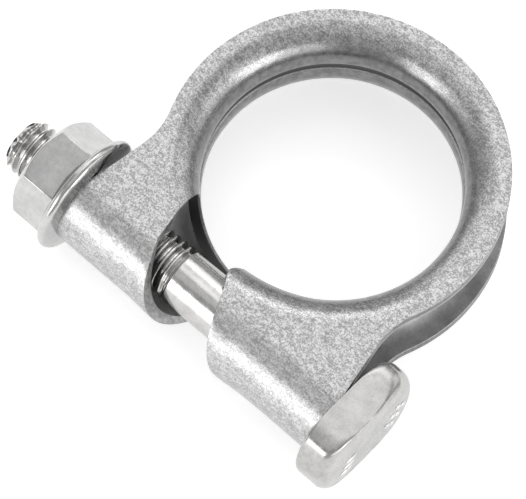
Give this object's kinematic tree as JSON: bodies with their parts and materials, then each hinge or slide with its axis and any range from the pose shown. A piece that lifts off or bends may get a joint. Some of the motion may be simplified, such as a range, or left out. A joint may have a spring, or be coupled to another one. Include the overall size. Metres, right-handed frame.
{
  "type": "pipe clamp",
  "caption": "One-piece folded sheet-steel pipe clamp, closed by a hammer-head cross bolt with a hexagon flange nut.",
  "frame": {"origin": "centre of the pipe seat", "axes": "+Z along the pipe, +X along the bolt toward its head, +Y from the bolt toward the ring's back"},
  "size_m": [0.0784, 0.0703, 0.0224],
  "materials": {
    "zinc_sheet": "dull zinc coat",
    "plated_bolt": "bright zinc plate",
    "plated_nut": "bright zinc plate"
  },
  "bodies": {
    "band_nut_half": {"band_nut_side": "zinc_sheet"},
    "band_head_half": {"band_head_side": "zinc_sheet"},
    "bolt": {"hammer_head_bolt": "plated_bolt"},
    "nut": {"flange_nut": "plated_nut"}
  },
  "joints": [
    {"name": "nut_turning", "type": "hinge", "parent": "band_nut_half", "child": "nut", "pos_m": [-0.0282, -0.0292, 0], "axis": [1, 0, 0], "range_deg": [0, 1800]},
    {"name": "bolt_slide", "type": "slide", "parent": "band_nut_half", "child": "bolt", "axis": [-1, 0, 0], "range_m": [0, 0.0075]},
    {"name": "band_closing", "type": "hinge", "parent": "band_nut_half", "child": "band_head_half", "pos_m": [0, 0.0215, 0], "axis": [0, 0, -1], "range_deg": [0, 8.48], "stiffness_Nm_per_rad": 2}
  ],
  "couplings": [
    {"joint": "nut_turning", "follows": "bolt_slide", "rad_per_m": 4188.8},
    {"joint": "band_closing", "follows": "bolt_slide", "rad_per_m": 19.724}
  ]
}
